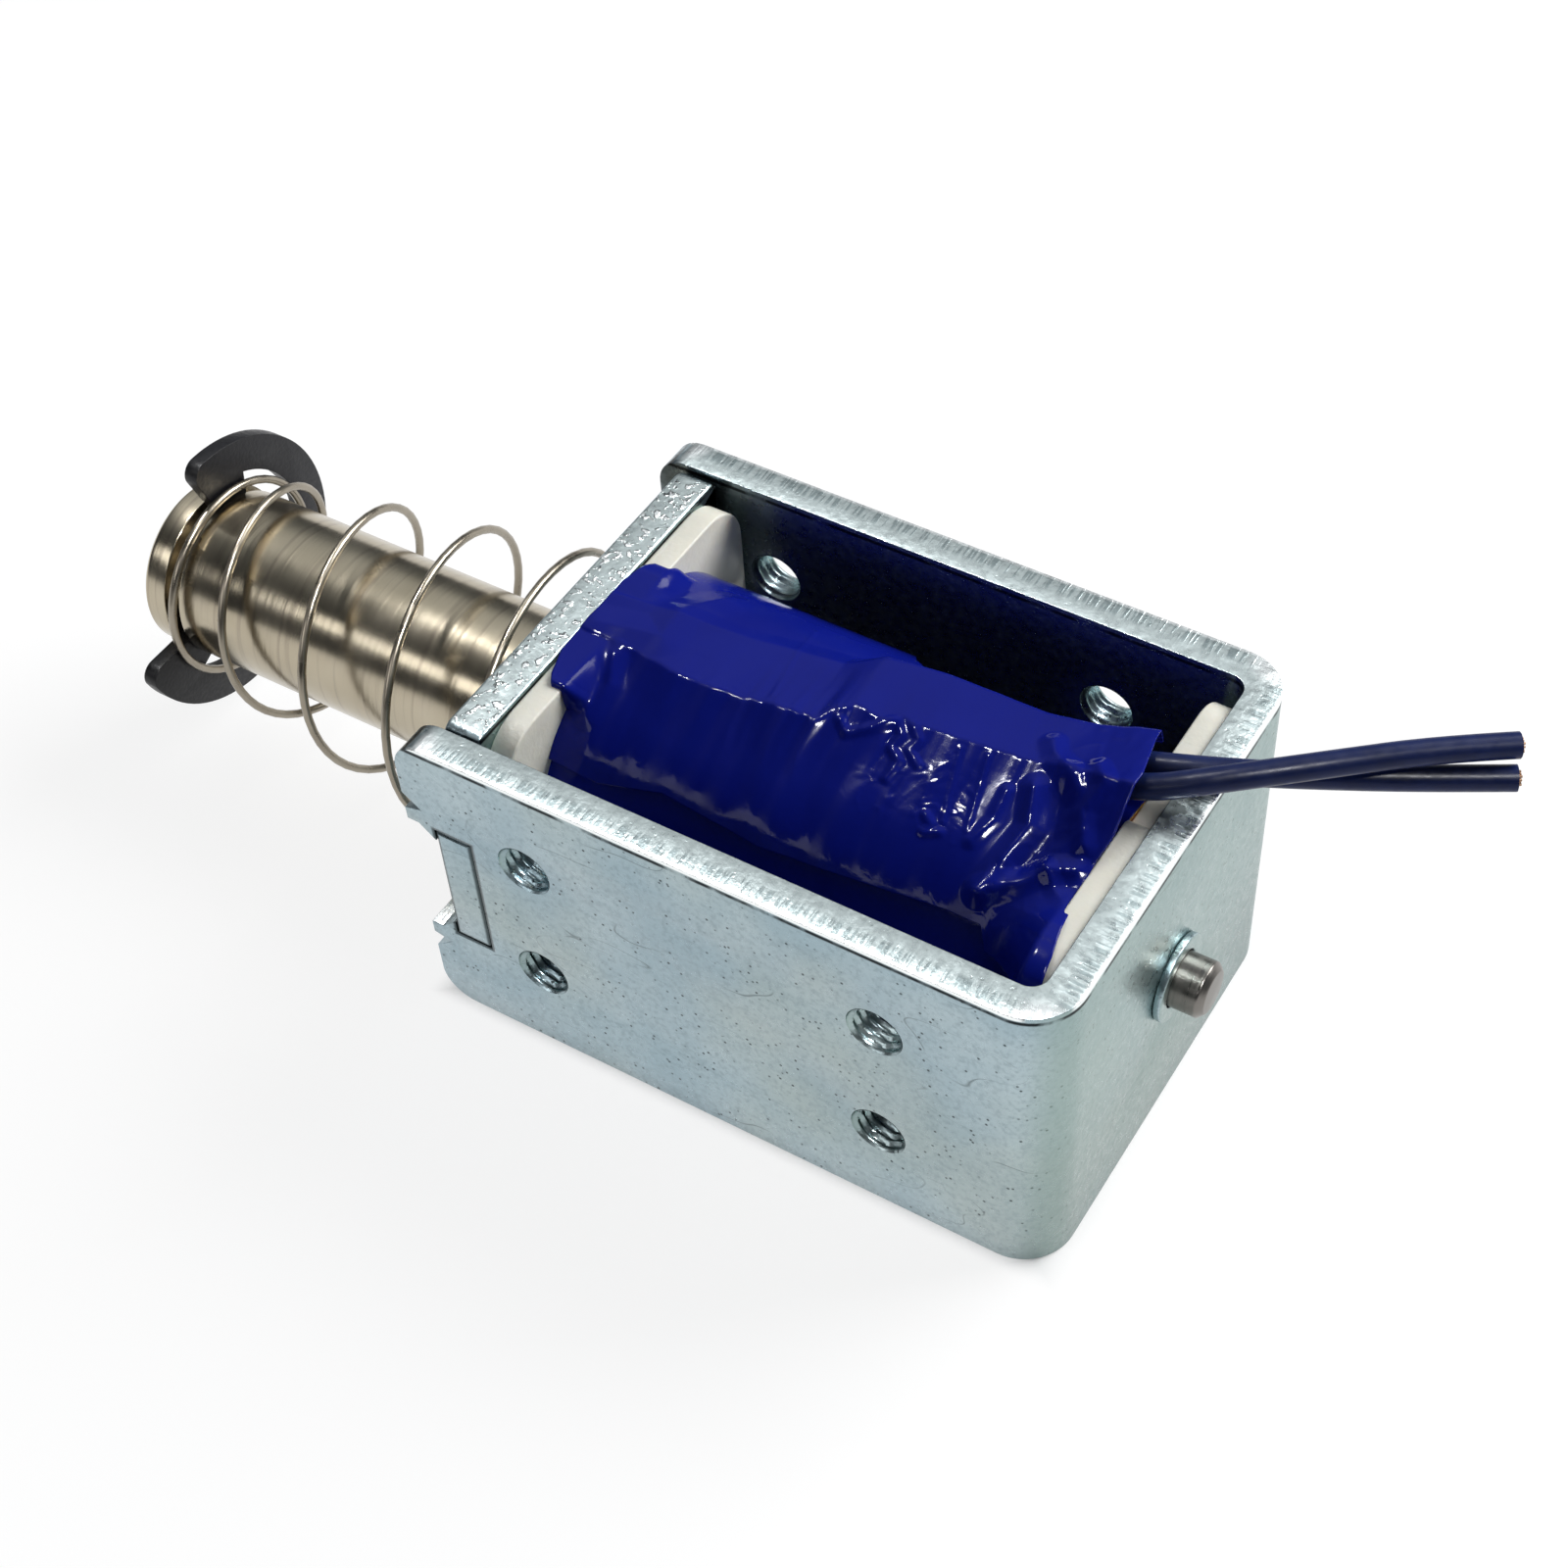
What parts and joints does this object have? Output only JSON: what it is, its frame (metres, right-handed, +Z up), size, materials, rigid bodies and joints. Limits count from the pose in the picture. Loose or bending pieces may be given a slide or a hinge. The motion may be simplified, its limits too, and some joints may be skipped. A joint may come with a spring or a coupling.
{
  "type": "push pull solenoid",
  "caption": "Open-frame push pull solenoid: a sprung plunger in a taped coil pulls in at one end and drives a push pin out of the other.",
  "frame": {"origin": "middle of the frame's footprint, on the plane that the frame rests on", "axes": "+X along the plunger's axis from the clip end to the push pin, +Y to the side wall beyond the one seen nearest in the picture, +Z up out of the frame's open side"},
  "size_m": [0.0788, 0.0272, 0.0244],
  "materials": {
    "zinc_sheet": "zinc plated, fine mottled grain",
    "zinc_core": "zinc plated, turned",
    "plunger_nickel": "plated, fine turned",
    "pin_steel": "ground, dark",
    "clip_black": "black phosphated",
    "spring_steel": "bright drawn wire",
    "tube_brass": "drawn",
    "bobbin_nylon": "moulded, satin",
    "winding_copper": "enamelled wire",
    "wrap_film": "thin film tape",
    "tape_blue": "glossy wrinkled tape",
    "lead_navy": "smooth insulation",
    "strand_copper": "tinned strands",
    "solder_tin": "solder"
  },
  "bodies": {
    "frame": {"u_frame": "zinc_sheet", "front_plate": "zinc_sheet", "fixed_core": "zinc_core", "guide_tube": "tube_brass", "bobbin": "bobbin_nylon", "coil_winding": "winding_copper", "inner_wrap": "wrap_film", "outer_tape": "tape_blue", "joint_backing": "tape_blue", "joint_cover": "tape_blue", "near_lead": "lead_navy", "far_lead": "lead_navy", "near_lead_strands": "strand_copper", "far_lead_strands": "strand_copper", "near_lead_solder": "solder_tin", "far_lead_solder": "solder_tin", "magnet_wire_start": "winding_copper", "magnet_wire_end": "winding_copper"},
    "plunger": {"plunger": "plunger_nickel", "push_pin": "pin_steel", "e_clip": "clip_black", "return_spring": "spring_steel"}
  },
  "joints": [
    {"name": "plunger_slide", "type": "slide", "parent": "frame", "child": "plunger", "axis": [1, 0, 0], "range_m": [0, 0.01], "stiffness_N_per_m": 150, "deforming": ["return_spring"]}
  ]
}
